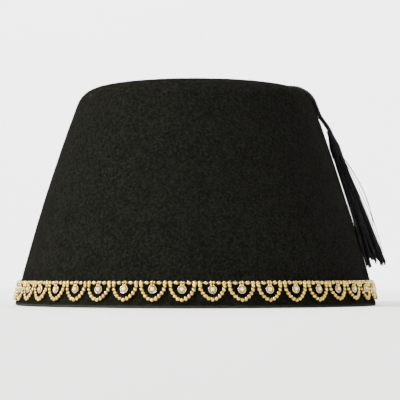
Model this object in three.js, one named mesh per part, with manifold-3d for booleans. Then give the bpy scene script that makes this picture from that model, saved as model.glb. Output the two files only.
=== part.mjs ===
// A round felt fez that stands on its rim, with a looped braid of gold cord and stones, and a black tassel.
// Millimetres, +Z up. The origin is the middle of the rim's lower face, and the tassel hangs towards +X.
import * as THREE from "three";
import { mergeVertices } from "three/addons/utils/BufferGeometryUtils.js";
import Module from "manifold-3d";

const wasm = await Module();
wasm.setup();

// Felt cap
const rimRadius = 96;
const crownRadius = 60.3; // where the wall's line would meet the flat top
const hatHeight = 115;
const wallBulge = 2; // how far the wall swells past a straight cone, halfway up
const shoulderRadius = 12.7;
const feltThickness = 2.4;
const hatSides = 72;
const outerSteps = { wall: 4, shoulder: 5 };
const innerSteps = { wall: 3, shoulder: 4 };

// Gold braid, whose heights are measured up the slope of the wall from the rim
const scallopCount = 42;
const plainRim = 2.65; // bare felt below the loops
const loopCord = 1.8; // thickness of the loops' cord
const loopDepth = 8.35; // from the top line's middle to the middle of the loop's lowest stretch
const topCord = 2; // thickness of the top line
const stoneWidth = 4.3; // the stone with its setting
const settingDepth = 1.3;
const stoneCrown = 0.9; // height of the stone's slanted facets
const tableShare = 0.55; // width of the stone's flat top, of the stone's
const settingSink = 0.25; // how far the setting's upper edge runs into the top line that carries it
const stoneFacets = 8;
const strandGap = 0.2; // between the ends of neighbouring loops
const loopSides = 5;
const loopSteps = 6;
const clearance = 0.3; // between pieces that lie on each other

// Button in the middle of the top
const buttonWidth = 13;
const buttonHeight = 4.6;
const buttonSides = 20;

// Tassel, hanging down the wall from the end of its cord
const cordThickness = 2.4;
const cordSides = 8;
const cordSteps = 19;
const tasselLength = 78;
const tasselFoot = 17.5; // its lowest ends, up the slope of the wall from the rim
const neckWidth = 3.2;
const headWidth = 6;
const neckLength = 5;
const headTaper = 3; // over which the neck widens to the head
const headLength = 15; // neck included
const headRounding = 1.5; // at the head's lower edge
const headSides = 10;
const lockRoot = 9; // how far below the neck's top the locks begin, inside the head
const tasselWidth = 18; // across its lower ends
const tasselDepth = 11; // out from the wall, at its lower ends
const lockWidth = 3.6; // a lock's thickness at its lower end
const lockRootWidth = 2.2;
const lockSides = 6;
const lockSteps = 2;

// The cord's route, from the button's side over the top and down the wall
const cordRoute = [
  [6.8, 0, 116.5],
  [10, 0.1, 116.5],
  [13.5, 0.6, 116.5],
  [17, 1.9, 116.5],
  [21, 3.9, 116.5],
  [25, 5.9, 116.5],
  [29.5, 7.2, 116.5],
  [34, 7.3, 116.5],
  [38.5, 6.1, 116.5],
  [43, 4.1, 116.5],
  [47.2, 2.2, 116.5],
  [51.5, 0.9, 116.5],
  [55.4, 0.3, 115.9],
  [59, 0, 114.3],
  [62.1, 0, 111.8],
  [64.3, 0, 108.5],
  [65.7, 0, 104.8],
  [67.2, 0, 101],
  [68.9, 0, 98],
  [70.6, 0, 95.4],
  [71.9, 0, 93],
];

const feltMaterial = new THREE.MeshStandardMaterial({ color: 0x171613, roughness: 0.95, metalness: 0 });
const goldMaterial = new THREE.MeshStandardMaterial({ color: 0xcdb478, roughness: 0.35, metalness: 0.9 });
const threadMaterial = new THREE.MeshStandardMaterial({ color: 0x0b0b0c, roughness: 0.45, metalness: 0 });

// The wall's line from the rim's outer edge to the flat top, x being the radius and y the height.
const wallLine = new THREE.QuadraticBezierCurve(
  new THREE.Vector2(rimRadius, 0),
  new THREE.Vector2((rimRadius + crownRadius) / 2 + 2 * wallBulge, hatHeight / 2),
  new THREE.Vector2(crownRadius, hatHeight),
);

function outwardAt(t) {
  const along = wallLine.getTangent(t);
  return new THREE.Vector2(along.y, -along.x);
}

// A point of the wall's line, moved in by some depth of felt.
function wallPoint(t, inset) {
  return wallLine.getPoint(t).addScaledVector(outwardAt(t), -inset);
}

// Where along the wall's line the shoulder's arc begins, so that it also touches the flat top.
function shoulderStart() {
  let low = 0;
  let high = 1;
  for (let halving = 0; halving < 40; halving += 1) {
    const middle = (low + high) / 2;
    if (wallPoint(middle, shoulderRadius).y < hatHeight - shoulderRadius) low = middle;
    else high = middle;
  }
  return low;
}

// The cap's outline at some depth of felt, from the rim up to the axis.
function capOutline(inset, steps) {
  const end = shoulderStart();
  const outline = [new THREE.Vector2(rimRadius - inset / outwardAt(0).x, 0)];
  for (let step = 1; step < steps.wall; step += 1) {
    outline.push(wallPoint((end * step) / steps.wall, inset));
  }
  const middle = wallPoint(end, shoulderRadius);
  const normal = outwardAt(end);
  const radius = shoulderRadius - inset;
  const startAngle = Math.atan2(normal.y, normal.x);
  const arc = new THREE.EllipseCurve(middle.x, middle.y, radius, radius, startAngle, Math.PI / 2);
  outline.push(...arc.getPoints(steps.shoulder), new THREE.Vector2(0, hatHeight - inset));
  return outline;
}

// A closed profile turned round the upright axis.
function turned(profile, sides) {
  return new THREE.LatheGeometry(profile, sides).rotateX(Math.PI / 2);
}

function makeFelt() {
  const outside = capOutline(0, outerSteps);
  const inside = capOutline(feltThickness, innerSteps);
  return turned([...inside.reverse(), ...outside], hatSides);
}

// Closed geometry as a solid that can be joined.
function toSolid(geometry) {
  const bare = new THREE.BufferGeometry().setIndex(geometry.index);
  bare.setAttribute("position", geometry.getAttribute("position"));
  const merged = mergeVertices(bare, 1e-4);
  const vertProperties = new Float32Array(merged.getAttribute("position").array);
  const triVerts = new Uint32Array(merged.index.array);
  return new wasm.Manifold(new wasm.Mesh({ numProp: 3, vertProperties, triVerts }));
}

function toGeometry(solid) {
  const made = solid.getMesh();
  const geometry = new THREE.BufferGeometry();
  geometry.setAttribute("position", new THREE.BufferAttribute(new Float32Array(made.vertProperties), 3));
  geometry.setIndex(new THREE.BufferAttribute(new Uint32Array(made.triVerts), 1));
  return geometry;
}

function joined(geometries) {
  const solids = geometries.map(toSolid);
  return toGeometry(solids.reduce((whole, next) => whole.add(next)));
}

// Lays flat geometry on the wall: x runs clockwise round the hat as seen from above, y out from the felt and
// z up the slope from the rim.
function laidOnWall(geometry) {
  const laid = geometry.clone();
  const place = laid.getAttribute("position");
  const slope = wallLine.getLength();
  for (let i = 0; i < place.count; i += 1) {
    const t = wallLine.getUtoTmapping(place.getZ(i) / slope);
    const foot = wallPoint(t, -place.getY(i));
    const turn = -place.getX(i) / wallLine.getPoint(t).x;
    place.setXYZ(i, foot.x * Math.cos(turn), foot.x * Math.sin(turn), foot.y);
  }
  return laid;
}

// A tube with flat ends that follows a curve.
function tube(curve, thickness, sides, steps) {
  const section = new THREE.Shape();
  for (let side = 0; side < sides; side += 1) {
    const turn = (2 * Math.PI * side) / sides;
    const corner = [(thickness / 2) * Math.cos(turn), (thickness / 2) * Math.sin(turn)];
    if (side) section.lineTo(...corner);
    else section.moveTo(...corner);
  }
  return new THREE.ExtrudeGeometry(section, { extrudePath: curve, steps, bevelEnabled: false });
}

const topLine = plainRim + loopCord / 2 + loopDepth;
const cordLift = clearance + topCord / 2; // how far the loops' middles lie off the felt

// The top line's section, as shares of its thickness.
const topLineShape = [
  { up: -0.5, out: 0 },
  { up: -0.5, out: 1 },
  { up: 0, out: 1.1 },
  { up: 0.5, out: 0.75 },
  { up: 0.5, out: 0 },
];

// Half of a loop from its end to its lowest point, as shares of its half width and of its depth.
const loopShape = [
  { across: 1, down: 0 },
  { across: 0.98, down: 0.25 },
  { across: 0.79, down: 0.55 },
  { across: 0.55, down: 0.76 },
  { across: 0.28, down: 0.93 },
  { across: 0, down: 1 },
];

// One loop, whose ends run up side by side with its neighbours' into the top line.
function makeLoop() {
  const topRadius = wallLine.getPointAt(topLine / wallLine.getLength()).x;
  const halfWidth = (Math.PI * topRadius) / scallopCount - (loopCord + strandGap) / 2;
  const half = loopShape.map(
    (row) => new THREE.Vector3(row.across * halfWidth, cordLift, topLine - row.down * loopDepth),
  );
  const otherHalf = half.slice(0, -1).map((point) => new THREE.Vector3(-point.x, point.y, point.z));
  const points = [...half, ...otherHalf.reverse()];
  return tube(new THREE.CatmullRomCurve3(points), loopCord, loopSides, loopSteps);
}

// A faceted stone in its round setting, facing out from the wall.
function makeStone() {
  const radius = stoneWidth / 2;
  const profile = [
    new THREE.Vector2(0, clearance),
    new THREE.Vector2(radius, clearance),
    new THREE.Vector2(radius, clearance + settingDepth),
    new THREE.Vector2(radius * tableShare, clearance + settingDepth + stoneCrown),
    new THREE.Vector2(0, clearance + settingDepth + stoneCrown),
  ];
  const stone = new THREE.LatheGeometry(profile, stoneFacets, Math.PI / stoneFacets);
  const flatHalfWidth = radius * Math.cos(Math.PI / stoneFacets);
  return stone.translate(0, 0, topLine - topCord / 2 + settingSink - flatHalfWidth);
}

function makeBraid() {
  const scallop = laidOnWall(joined([makeLoop(), makeStone()]));
  const pieces = [makeTopLine()];
  for (let copy = 0; copy < scallopCount; copy += 1) {
    pieces.push(scallop.clone().rotateZ((2 * Math.PI * copy) / scallopCount));
  }
  return joined(pieces);
}

// The top line's ring, whose section is flat towards the felt and the loops.
function makeTopLine() {
  const corners = topLineShape.map((row) => {
    const height = topLine + row.up * topCord;
    const t = wallLine.getUtoTmapping(height / wallLine.getLength());
    return wallPoint(t, -clearance - row.out * topCord);
  });
  return turned([...corners, corners[0]], 2 * scallopCount).rotateZ(Math.PI / (2 * scallopCount));
}

// The button's outline, as shares of its half width and of its height.
const buttonShape = [
  { across: 0, up: 0 },
  { across: 0.92, up: 0 },
  { across: 1, up: 0.22 },
  { across: 1, up: 0.55 },
  { across: 0.86, up: 0.8 },
  { across: 0.5, up: 0.96 },
  { across: 0, up: 1 },
];

function makeButton() {
  const profile = buttonShape.map(
    (row) => new THREE.Vector2((row.across * buttonWidth) / 2, row.up * buttonHeight),
  );
  return turned(profile, buttonSides).translate(0, 0, hatHeight + clearance);
}

function makeCord() {
  const points = cordRoute.map((place) => new THREE.Vector3(...place));
  return tube(new THREE.CatmullRomCurve3(points), cordThickness, cordSides, cordSteps);
}

// The locks of the tassel: across and out as shares of the room beside the middle and outside the wall, and
// length as a share of the fringe.
const tasselLocks = [
  { across: -1, out: 0.35, length: 0.94 },
  { across: -0.68, out: 0.82, length: 0.97 },
  { across: -0.56, out: 0.02, length: 0.96 },
  { across: -0.2, out: 1, length: 1 },
  { across: -0.16, out: 0.45, length: 0.95 },
  { across: 0.06, out: 0, length: 0.98 },
  { across: 0.3, out: 0.9, length: 0.96 },
  { across: 0.42, out: 0.38, length: 0.99 },
  { across: 0.62, out: 0, length: 0.95 },
  { across: 0.76, out: 0.75, length: 0.93 },
  { across: 1, out: 0.3, length: 0.97 },
];

// One lock from inside the head to its lower end, widening and leaning out to its place in the fringe.
function makeLock(row) {
  const length = (tasselLength - lockRoot) * row.length;
  const rootHeight = tasselFoot + tasselLength - lockRoot;
  const lock = new THREE.CylinderGeometry(lockRootWidth / 2, lockWidth / 2, length, lockSides, lockSteps);
  lock.rotateX(Math.PI / 2).translate(0, 0, -length / 2);
  const rootAcross = (row.across * (headWidth - lockRootWidth)) / 2;
  const footAcross = (row.across * (tasselWidth - lockWidth)) / 2;
  const rootOut = clearance + lockRootWidth / 2 + row.out * (headWidth - lockRootWidth);
  const footOut = clearance + lockWidth / 2 + row.out * (tasselDepth - lockWidth);
  const place = lock.getAttribute("position");
  for (let i = 0; i < place.count; i += 1) {
    const share = -place.getZ(i) / length;
    const across = THREE.MathUtils.lerp(rootAcross, footAcross, share);
    const out = THREE.MathUtils.lerp(rootOut, footOut, share);
    place.setXYZ(i, place.getX(i) + across, place.getY(i) + out, place.getZ(i) + rootHeight);
  }
  return lock;
}

function makeHead() {
  const neck = neckWidth / 2;
  const head = headWidth / 2;
  const profile = [
    new THREE.Vector2(0, -headLength),
    new THREE.Vector2(head - headRounding, -headLength),
    new THREE.Vector2(head, -headLength + headRounding),
    new THREE.Vector2(head, -neckLength - headTaper),
    new THREE.Vector2(neck, -neckLength),
    new THREE.Vector2(neck, 0),
    new THREE.Vector2(0, 0),
  ];
  return turned(profile, headSides).translate(0, clearance + head, tasselFoot + tasselLength);
}

function makeTassel() {
  return laidOnWall(joined([makeHead(), ...tasselLocks.map(makeLock)]));
}

function named(name, geometry, material) {
  const mesh = new THREE.Mesh(geometry, material);
  mesh.name = name;
  return mesh;
}

const fez = new THREE.Group();
fez.add(named("felt_body", makeFelt(), feltMaterial));
fez.add(named("gold_braid", makeBraid(), goldMaterial));
fez.add(named("crown_button", makeButton(), feltMaterial));
fez.add(named("tassel_cord", makeCord(), threadMaterial));
fez.add(named("tassel", makeTassel(), threadMaterial));

export default fez;
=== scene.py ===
import bisect
import math
import random

import bpy
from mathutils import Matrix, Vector, noise


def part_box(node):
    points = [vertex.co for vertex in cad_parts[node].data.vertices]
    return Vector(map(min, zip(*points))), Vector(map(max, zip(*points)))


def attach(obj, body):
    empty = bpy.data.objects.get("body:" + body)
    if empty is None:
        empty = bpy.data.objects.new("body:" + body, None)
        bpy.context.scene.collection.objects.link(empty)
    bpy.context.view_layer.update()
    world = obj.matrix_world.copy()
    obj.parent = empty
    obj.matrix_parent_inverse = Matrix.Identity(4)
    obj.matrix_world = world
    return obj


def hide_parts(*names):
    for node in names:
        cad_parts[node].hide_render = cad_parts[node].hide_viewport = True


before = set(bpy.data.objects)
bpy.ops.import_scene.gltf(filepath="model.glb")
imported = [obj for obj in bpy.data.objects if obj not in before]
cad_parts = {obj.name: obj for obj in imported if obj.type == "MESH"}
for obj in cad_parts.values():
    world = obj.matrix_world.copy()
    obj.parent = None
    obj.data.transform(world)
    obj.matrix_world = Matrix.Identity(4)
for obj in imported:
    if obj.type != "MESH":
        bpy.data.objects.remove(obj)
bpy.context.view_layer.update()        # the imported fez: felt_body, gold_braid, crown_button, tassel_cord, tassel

mm = 0.001
fullTurn = 2 * math.pi


# The hat's own sizes: rim and height come from the frame, the rest was measured against them
feltLow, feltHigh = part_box("felt_body")
hat = {
    "rimRadius": (feltHigh[0] - feltLow[0]) / 2,
    "height": feltHigh[2],
    "crownRadius": 60.3 * mm,    # where the wall's line would meet the flat top
    "bulge": 2 * mm,             # swell of the wall past a straight cone
    "shoulder": 12.7 * mm,
    "felt": 2.4 * mm,
    "rimWander": 0.9 * mm,       # how far the soft rim strays from a true circle
    "wanderHeight": 70 * mm,     # how far up the wall that is felt
    "wanderFade": 1.5,
    "dents": 0.35 * mm,          # broad soft dents in the felt
    "dentSize": 38 * mm,
    "mottle": 0.06 * mm,         # fine unevenness of the felt
    "mottleSize": 2.6 * mm,
}

# The waves round the rim that its wander is made of
rimWaves = [
    {"waves": 2, "share": 0.5, "phase": 0.7},
    {"waves": 3, "share": 0.3, "phase": -1.1},
    {"waves": 5, "share": 0.2, "phase": 2.3},
]


def polar(radius, turn):
    return radius * math.cos(turn), radius * math.sin(turn)


def wallLine(share):
    # radius and height of the wall, and the way out from it, at a share of its height
    spread = hat["crownRadius"] - hat["rimRadius"]
    radius = hat["rimRadius"] + spread * share + 4 * hat["bulge"] * share * (1 - share)
    lean = spread + 4 * hat["bulge"] * (1 - 2 * share)
    length = math.hypot(lean, hat["height"])
    return radius, hat["height"] * share, hat["height"] / length, -lean / length


def measureWall(steps=240):
    # how far up the slope each height lies
    slants = [0.0]
    for step in range(steps):
        low, high = wallLine(step / steps), wallLine((step + 1) / steps)
        slants.append(slants[-1] + math.hypot(high[0] - low[0], high[1] - low[1]))
    return slants


wallSlants = measureWall()


def shareAtSlant(slant):
    # the share of the wall's height reached after some way up its slope
    steps = len(wallSlants) - 1
    step = min(max(bisect.bisect_right(wallSlants, slant) - 1, 0), steps - 1)
    part = (slant - wallSlants[step]) / (wallSlants[step + 1] - wallSlants[step])
    return (step + part) / steps


def softDrift(angle, height):
    # the felt's broad unevenness: a rim that isn't quite round, and soft dents
    fade = max(0.0, 1 - height / hat["wanderHeight"]) ** hat["wanderFade"]
    wander = sum(row["share"] * math.cos(row["waves"] * angle + row["phase"]) for row in rimWaves)
    place = Vector((*polar(hat["rimRadius"], angle), height))
    return hat["rimWander"] * fade * wander + hat["dents"] * noise.noise(place / hat["dentSize"])


def onWall(slant, lift, angle):
    # a place on the felt: way up the slope from the rim, distance out from the felt, angle round the hat
    radius, height, outX, outZ = wallLine(shareAtSlant(slant))
    lift = lift + softDrift(angle, height)
    return Vector((*polar(radius + outX * lift, angle), height + outZ * lift))


def wallAxes(slant, angle):
    # the ways along the brim, out from the felt and up the slope
    outX, outZ = wallLine(shareAtSlant(slant))[2:]
    along = Vector((-math.sin(angle), math.cos(angle), 0))
    out = Vector((*polar(outX, angle), outZ))
    return along, out, along.cross(out) * -1


# Small helpers for objects and meshes

def addObject(name, data):
    piece = bpy.data.objects.new(name, data)
    bpy.context.scene.collection.objects.link(piece)
    return piece


def meshPiece(name, verts, faces, material, smooth=True):
    mesh = bpy.data.meshes.new(name)
    mesh.from_pydata(verts, [], faces)
    mesh.polygons.foreach_set("use_smooth", [smooth] * len(mesh.polygons))
    mesh.materials.append(material)
    return addObject(name, mesh)


def bandFaces(rings):
    # the faces between neighbouring rings, of which the first and last may each be a single point
    faces = []
    for low, high in zip(rings, rings[1:]):
        for side in range(len(low)):
            after = (side + 1) % len(low)
            faces.append(tuple(dict.fromkeys((low[side], low[after], high[after], high[side]))))
    return faces


def turnedMesh(name, outline, sides, material):
    # an outline of (radius, height), turned round +Z
    verts, rings = [], []
    for radius, height in outline:
        if radius < 1e-7:
            rings.append([len(verts)] * sides)
            verts.append((0, 0, height))
            continue
        rings.append(list(range(len(verts), len(verts) + sides)))
        verts += [(*polar(radius, fullTurn * side / sides), height) for side in range(sides)]
    return meshPiece(name, verts, bandFaces(rings), material)


def linesObject(name, lines, closed=False):
    # a curve object of straight-stepped lines, each a list of places
    curve = bpy.data.curves.new(name, "CURVE")
    curve.dimensions = "3D"
    for line in lines:
        spline = curve.splines.new("POLY")
        spline.points.add(len(line) - 1)
        spline.points.foreach_set("co", [value for place in line for value in (*place, 1)])
        spline.use_cyclic_u = closed
    return addObject(name, curve)


def placesObject(name, places):
    # loose points that carry where each copy points and how big it is
    mesh = bpy.data.meshes.new(name)
    mesh.from_pydata([place["at"] for place in places], [], [])
    for label in ("along", "outward", "size"):
        values = mesh.attributes.new(label, "FLOAT_VECTOR", "POINT")
        values.data.foreach_set("vector", [part for place in places for part in place[label]])
    return addObject(name, mesh)


def joinPieces(name, pieces):
    # several meshes as one object
    with bpy.context.temp_override(active_object=pieces[0], selected_editable_objects=pieces):
        bpy.ops.object.join()
    pieces[0].name = name
    return pieces[0]


def growPiece(name, source, tree, values):
    # runs a tree on a source object and keeps the result as a plain mesh object
    modifier = source.modifiers.new("grow", "NODES")
    modifier.node_group = tree
    for item in tree.interface.items_tree:
        if item.in_out == "INPUT" and item.name in values:
            modifier[item.identifier] = values[item.name]
    source.update_tag()
    depsgraph = bpy.context.evaluated_depsgraph_get()
    depsgraph.update()
    mesh = bpy.data.meshes.new_from_object(source.evaluated_get(depsgraph), depsgraph=depsgraph)
    source.modifiers.remove(modifier)
    bpy.data.objects.remove(source)
    return addObject(name, mesh)


# Small helpers for node trees

def feedSocket(tree, socket, value):
    if isinstance(value, bpy.types.NodeSocket):
        tree.links.new(value, socket)
    else:
        socket.default_value = value


def addNode(tree, kind, settings=None, **inputs):
    # a node with its settings and inputs, where an input is a value or the socket that feeds it
    node = tree.nodes.new(kind)
    for name, value in (settings or {}).items():
        setattr(node, name, value)
    for name, value in inputs.items():
        feedSocket(tree, node.inputs[name.replace("_", " ")], value)
    return node


def sumNode(tree, operation, *values, kind="ShaderNodeMath"):
    # the result of a sum on up to three values or sockets
    node = addNode(tree, kind, {"operation": operation})
    for socket, value in zip(node.inputs, values):
        feedSocket(tree, socket, value)
    return node.outputs[0]


def combine(tree, **parts):
    return addNode(tree, "ShaderNodeCombineXYZ", **parts).outputs[0]


def objectPlace(tree):
    return addNode(tree, "ShaderNodeTexCoord").outputs["Object"]


def noiseNode(tree, place, look):
    return addNode(tree, "ShaderNodeTexNoise", Vector=place, **look).outputs["Fac"]


def bumpNode(tree, height, look, **under):
    return addNode(tree, "ShaderNodeBump", Height=height, **look, **under).outputs["Normal"]


def toneRamp(tree, share, stops):
    # a colour that runs through stops of (position, colour)
    node = addNode(tree, "ShaderNodeValToRGB", Fac=share)
    elements = node.color_ramp.elements
    for index, (position, colour) in enumerate(stops):
        stop = elements[index] if index < 2 else elements.new(position)
        stop.position = position
        stop.color = (*colour, 1)
    return node.outputs["Color"]


def mixColours(tree, share, first, second, **settings):
    node = addNode(tree, "ShaderNodeMix", {"data_type": "RGBA", **settings})
    for index, value in ((0, share), (6, first), (7, second)):    # the node's colour sockets are 6 and 7
        feedSocket(tree, node.inputs[index], value)
    return node.outputs[2]


# Materials: tones are stops of (position, colour)

def newMaterial(name, colour, **sockets):
    # a node material whose fixed values sit on the shader's own sockets
    material = bpy.data.materials.new(name)
    material.use_nodes = True
    shader = material.node_tree.nodes["Principled BSDF"]
    shader.inputs["Base Color"].default_value = (*colour, 1)
    for socket, value in sockets.items():
        shader.inputs[socket.replace("_", " ")].default_value = value
    return material, shader


feltLook = {
    "colour": (0.006, 0.0057, 0.0047),
    "roughness": 0.97,
    "sheen": 0.01,
    "sheenRoughness": 0.5,
    "sheenTint": (0.62, 0.58, 0.53, 1),
    "clouds": {"Scale": 75, "Detail": 2, "Roughness": 0.5},
    "fibres": {"Scale": 800, "Detail": 3, "Roughness": 0.6, "Distortion": 0.8},
    "pills": {"Scale": 430, "Detail": 2, "Roughness": 0.6, "Distortion": 0.8},
    "cloudShare": 0.09,          # how much the clouds add to the fibres' grain
    "tones": [(0.46, (0.0034, 0.0036, 0.0029)), (0.67, (0.0091, 0.0094, 0.0077))],
    "cutEdgeHighlight": (0.026, 0.0266, 0.025, 1),
    "edgeFull": 0.6 * mm,        # height up to which the cut edge's painted highlight shows in full
    "edgeGone": 1.15 * mm,
    "pillBump": {"Strength": 0.25, "Distance": 0.35 * mm},
    "fibreBump": {"Strength": 0.7, "Distance": 0.16 * mm},
}


def makeFelt():
    # matted black wool: a faint mottle, a fine grain and a cut edge made paler grey by a painted highlight
    material, shader = newMaterial(
        "blackFelt", feltLook["colour"], Roughness=feltLook["roughness"], Sheen_Weight=feltLook["sheen"],
        Sheen_Roughness=feltLook["sheenRoughness"], Specular_IOR_Level=0)
    shader.inputs["Sheen Tint"].default_value = feltLook["sheenTint"]
    tree = material.node_tree
    place = objectPlace(tree)
    clouds, fibres, pills = (noiseNode(tree, place, feltLook[part]) for part in ("clouds", "fibres", "pills"))
    grain = sumNode(tree, "MULTIPLY_ADD", clouds, feltLook["cloudShare"], fibres)
    height = addNode(tree, "ShaderNodeSeparateXYZ", Vector=place).outputs["Z"]
    # painted highlight: the felt turns paler grey towards the bottom of the cut edge
    edge = addNode(tree, "ShaderNodeMapRange", Value=height, From_Min=feltLook["edgeGone"],
                   From_Max=feltLook["edgeFull"]).outputs["Result"]
    colour = mixColours(tree, edge, toneRamp(tree, grain, feltLook["tones"]), feltLook["cutEdgeHighlight"])
    tree.links.new(colour, shader.inputs["Base Color"])
    coarse = bumpNode(tree, pills, feltLook["pillBump"])
    tree.links.new(bumpNode(tree, fibres, feltLook["fibreBump"], Normal=coarse), shader.inputs["Normal"])
    return material


# painted shade for the bead ends where beads meet, and plain white that leaves a bead's middle unchanged
beadEndShade, bright = (0.12, 0.085, 0.05), (1, 1, 1)
goldLook = {
    "colour": (0.78, 0.55, 0.18),
    "metallic": 0.95,
    "roughness": 0.27,
    "patches": {"Scale": 420, "Detail": 3, "Roughness": 0.65},
    "tones": [(0.3, (0.36, 0.235, 0.045)), (0.62, (0.8, 0.605, 0.13))],
    "alongBead": [(0.12, beadEndShade), (0.36, bright), (0.64, bright), (0.88, beadEndShade)],
    "windings": {"Scale": 4.5, "Distortion": 0.6, "Detail": 1},
    "bump": {"Strength": 0.6, "Distance": 0.08 * mm},
}


def makeGoldThread():
    # flat metal thread wound over cord: slanted windings along each bead, with painted shade in dark brown towards
    # each bead's ends, where beads meet
    material, shader = newMaterial("goldThread", goldLook["colour"], Metallic=goldLook["metallic"],
                                   Roughness=goldLook["roughness"])
    tree = material.node_tree
    around = addNode(tree, "ShaderNodeUVMap", {"uv_map": "winding"}).outputs["UV"]
    tone = toneRamp(tree, noiseNode(tree, objectPlace(tree), goldLook["patches"]), goldLook["tones"])
    along = addNode(tree, "ShaderNodeSeparateXYZ", Vector=around).outputs["Y"]
    # painted shade: the colour darkens to brown towards each bead's two ends
    ends = toneRamp(tree, along, goldLook["alongBead"])
    tree.links.new(mixColours(tree, 1, tone, ends, blend_type="MULTIPLY"), shader.inputs["Base Color"])
    windings = addNode(tree, "ShaderNodeTexWave", {"wave_type": "BANDS", "bands_direction": "DIAGONAL"},
                       Vector=around, **goldLook["windings"]).outputs["Fac"]
    tree.links.new(bumpNode(tree, windings, goldLook["bump"]), shader.inputs["Normal"])
    return material


stoneLook = {
    "colour": (0.9, 0.82, 0.77),
    "roughness": 0.05,
    "refraction": 1.65,
    "tint": (1, 0.89, 0.62, 1),
    "flaws": {"Scale": 700, "Detail": 1},
    "flawShare": 0.5,
    "tones": [(0.3, (0.12, 0.08, 0.04)), (1.0, (1.0, 0.84, 0.4))],
}


def makeStoneGlass():
    # foil-backed clear stone with painted reflections: the table painted bright as a highlight, the facets round
    # it painted darker by turns as shade, all faintly yellow
    material, shader = newMaterial("clearStone", stoneLook["colour"], Roughness=stoneLook["roughness"],
                                   IOR=stoneLook["refraction"])
    shader.inputs["Specular Tint"].default_value = stoneLook["tint"]
    tree = material.node_tree
    # painted highlight and shade: each facet's brightness comes from its own stored value, not from the lamps
    cut = addNode(tree, "ShaderNodeAttribute", {"attribute_name": "paintedFacetLight"}).outputs["Fac"]
    flaws = noiseNode(tree, objectPlace(tree), stoneLook["flaws"])
    shade = sumNode(tree, "MULTIPLY_ADD", flaws, stoneLook["flawShare"], cut)
    tree.links.new(toneRamp(tree, shade, stoneLook["tones"]), shader.inputs["Base Color"])
    return material


# Looks of a single noise: it varies the colour, and where a bump is given the surface too
settingLook = {
    "colour": (0.9, 0.76, 0.5),
    "noise": {"Scale": 900, "Detail": 2},
    "tones": [(0, (0.5, 0.37, 0.15)), (1, (0.84, 0.69, 0.38))],
    "bump": {"Strength": 0.2, "Distance": 0.05 * mm},
}
rayonLook = {
    "colour": (0.0034, 0.0033, 0.0034),
    "noise": {"Scale": 260, "Detail": 2},
    "tones": [(0, (0.0017, 0.00165, 0.0017)), (1, (0.00612, 0.00594, 0.00612))],
}
# the braid cord's core under the beads, partly painted shade: its dark brown shows between the beads as their
# brown shadow
coreLook = {
    "colour": (0.09, 0.042, 0.016),
    "noise": {"Scale": 1400, "Detail": 3},
    "tones": [(0, (0.045, 0.018, 0.007)), (1, (0.2, 0.1, 0.035))],
}


def makeSpeckled(name, look, **sockets):
    material, shader = newMaterial(name, look["colour"], **sockets)
    tree = material.node_tree
    speckle = noiseNode(tree, objectPlace(tree), look["noise"])
    tree.links.new(toneRamp(tree, speckle, look["tones"]), shader.inputs["Base Color"])
    if "bump" in look:
        tree.links.new(bumpNode(tree, speckle, look["bump"]), shader.inputs["Normal"])
    return material


blackFelt = makeFelt()
goldThread = makeGoldThread()
stoneGlass = makeStoneGlass()
settingMetal = makeSpeckled("paleGoldSetting", settingLook, Metallic=1, Roughness=0.24)
blackRayon = makeSpeckled("blackRayon", rayonLook, Roughness=0.5, Specular_IOR_Level=0.13)
coreAndShade = makeSpeckled("brownCoreAndShade", coreLook, Roughness=0.7, Metallic=0.2)
print("materials ready")


# Camera, low over the floor, on the side from which the tassel hangs at the right edge
view = {
    "azimuth": 8,                # degrees, 0 looks along +Y
    "distance": 0.8,
    "height": 14 * mm,
    "aim": Vector((2.5 * mm, 0, 56 * mm)),
    "lens": 134,
    "clipStart": 0.01,
}


def placeCamera():
    data = bpy.data.cameras.new("camera")
    data.lens = view["lens"]
    data.clip_start = view["clipStart"]
    camera = addObject("camera", data)
    turn = math.radians(view["azimuth"])
    camera.location = (view["distance"] * math.sin(turn), -view["distance"] * math.cos(turn), view["height"])
    camera.rotation_mode = "QUATERNION"
    camera.rotation_quaternion = (view["aim"] - camera.location).to_track_quat("-Z", "Y")
    bpy.context.scene.camera = camera


placeCamera()
print("camera ready")


# Geometry trees

def newTree(name, inputs):
    # a geometry tree with named inputs, its inputs' sockets and its last node
    tree = bpy.data.node_groups.new(name, "GeometryNodeTree")
    tree.interface.new_socket("Geometry", in_out="INPUT", socket_type="NodeSocketGeometry")
    tree.interface.new_socket("Geometry", in_out="OUTPUT", socket_type="NodeSocketGeometry")
    for label, (kind, value) in inputs.items():
        socket = tree.interface.new_socket(label, in_out="INPUT", socket_type="NodeSocket" + kind)
        if value is not None:
            socket.default_value = value
    return tree, tree.nodes.new("NodeGroupInput").outputs, tree.nodes.new("NodeGroupOutput")


def finishTree(tree, given, end, geometry):
    # ends a tree: its copies made real, with the material on them
    real = addNode(tree, "GeometryNodeRealizeInstances", Geometry=geometry)
    finish = addNode(tree, "GeometryNodeSetMaterial", Geometry=real.outputs["Geometry"],
                     Material=given["Material"])
    tree.links.new(finish.outputs["Geometry"], end.inputs["Geometry"])
    return tree


def randomNode(tree, low, high, seed):
    dice = addNode(tree, "FunctionNodeRandomValue", {"data_type": "FLOAT"}, Seed=seed)
    feedSocket(tree, dice.inputs[2], low)
    feedSocket(tree, dice.inputs[3], high)
    return dice.outputs[1]


def fieldNode(tree, kind, name):
    return addNode(tree, "GeometryNodeInputNamedAttribute", {"data_type": kind}, Name=name).outputs["Attribute"]


def facingNode(tree, mainAxis, main, otherAxis, other):
    # the rotation that points two axes of a copy along two given ways
    node = addNode(tree, "FunctionNodeAxesToRotation", {"primary_axis": mainAxis, "secondary_axis": otherAxis})
    feedSocket(tree, node.inputs[0], main)
    feedSocket(tree, node.inputs[1], other)
    return node.outputs[0]


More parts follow.
